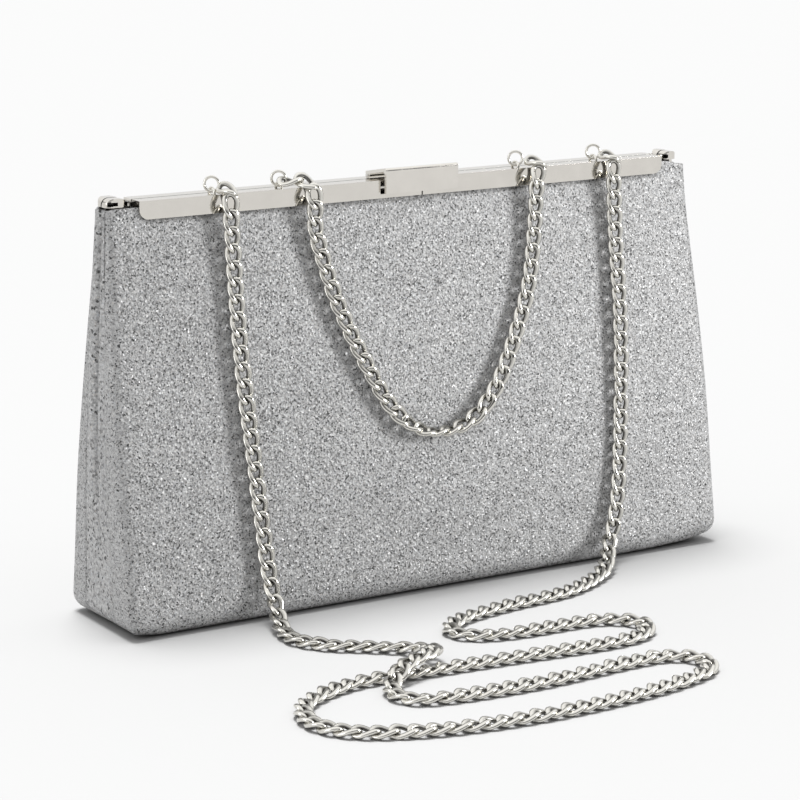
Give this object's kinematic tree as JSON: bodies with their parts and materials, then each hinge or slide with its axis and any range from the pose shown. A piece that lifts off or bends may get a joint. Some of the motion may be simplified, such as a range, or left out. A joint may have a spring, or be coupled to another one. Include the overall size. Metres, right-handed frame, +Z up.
{
  "type": "evening bag",
  "caption": "Structured frame clutch in glitter cloth with a lift clasp, a short handle chain and a long shoulder chain.",
  "frame": {"origin": "middle of the base, on the surface that the bag stands on", "axes": "+X to the right along the width, +Y to the back, +Z up"},
  "size_m": [0.248, 0.1864, 0.1538],
  "materials": {
    "glitter_cloth": "silver glitter cloth, fine twill grain",
    "board": "grey pressed board",
    "satin_lining": "smooth satin",
    "frame_metal": "polished nickel plate",
    "flap_metal": "polished nickel plate",
    "rivet_metal": "plain steel",
    "spring_steel": "rolled spring strip",
    "chain_metal": "polished nickel plate"
  },
  "bodies": {
    "base": {"bottom_cover": "glitter_cloth", "bottom_board": "board", "bottom_lining": "satin_lining", "left_gusset": "glitter_cloth", "right_gusset": "glitter_cloth", "shoulder_chain": "chain_metal"},
    "front_panel": {"front_cover": "glitter_cloth", "front_board": "board", "front_lining": "satin_lining", "handle_chain": "chain_metal"},
    "back_panel": {"back_cover": "glitter_cloth", "back_board": "board", "back_lining": "satin_lining", "slip_pocket": "satin_lining"},
    "front_frame": {"front_frame": "frame_metal", "left_shoulder_lug": "chain_metal", "right_shoulder_lug": "chain_metal", "left_handle_lug": "chain_metal", "right_handle_lug": "chain_metal"},
    "back_frame": {"back_frame": "frame_metal", "left_rivet": "rivet_metal", "right_rivet": "rivet_metal", "clasp_hinge_base": "frame_metal", "clasp_hinge_pin": "rivet_metal", "clasp_spring": "spring_steel"},
    "clasp_flap": {"clasp_flap": "flap_metal"},
    "left_shoulder_ring": {"left_shoulder_ring": "chain_metal"},
    "right_shoulder_ring": {"right_shoulder_ring": "chain_metal"},
    "left_handle_ring": {"left_handle_ring": "chain_metal"},
    "right_handle_ring": {"right_handle_ring": "chain_metal"}
  },
  "joints": [
    {"name": "front_panel_hinge", "type": "hinge", "parent": "base", "child": "front_panel", "pos_m": [0, -0.0235, 0.007], "axis": [1, 0, 0], "range_deg": [0, 7], "deforming": ["left_gusset", "right_gusset", "shoulder_chain", "handle_chain"]},
    {"name": "back_panel_hinge", "type": "hinge", "parent": "base", "child": "back_panel", "pos_m": [0, 0.0235, 0.007], "axis": [-1, 0, 0], "range_deg": [0, 7]},
    {"name": "front_frame_turn", "type": "hinge", "parent": "front_panel", "child": "front_frame", "pos_m": [0, -0.0046, 0.1411], "axis": [1, 0, 0], "range_deg": [0, 13.3]},
    {"name": "back_frame_turn", "type": "hinge", "parent": "back_panel", "child": "back_frame", "pos_m": [0, 0.0046, 0.1411], "axis": [-1, 0, 0], "range_deg": [0, 13.3]},
    {"name": "clasp_flap_lift", "type": "hinge", "parent": "back_frame", "child": "clasp_flap", "pos_m": [0.0015, 0.0076, 0.1473], "axis": [-1, 0, 0], "range_deg": [0, 80]},
    {"name": "left_shoulder_ring_swing", "type": "hinge", "parent": "front_frame", "child": "left_shoulder_ring", "pos_m": [-0.0795, -0.0026, 0.1483], "axis": [0.8192, -0.5736, 0], "range_deg": [-40, 40]},
    {"name": "right_shoulder_ring_swing", "type": "hinge", "parent": "front_frame", "child": "right_shoulder_ring", "pos_m": [0.0795, -0.0026, 0.1483], "axis": [0.8192, -0.5736, 0], "range_deg": [-40, 40]},
    {"name": "left_handle_ring_swing", "type": "hinge", "parent": "front_frame", "child": "left_handle_ring", "pos_m": [-0.0534, -0.0026, 0.1483], "axis": [0.8192, -0.5736, 0], "range_deg": [-40, 40]},
    {"name": "right_handle_ring_swing", "type": "hinge", "parent": "front_frame", "child": "right_handle_ring", "pos_m": [0.045, -0.0026, 0.1483], "axis": [0.8192, -0.5736, 0], "range_deg": [-40, 40]}
  ],
  "couplings": [
    {"joint": "back_panel_hinge", "follows": "front_panel_hinge", "ratio": 1},
    {"joint": "front_frame_turn", "follows": "front_panel_hinge", "ratio": 1.9},
    {"joint": "back_frame_turn", "follows": "front_panel_hinge", "ratio": 1.9}
  ]
}
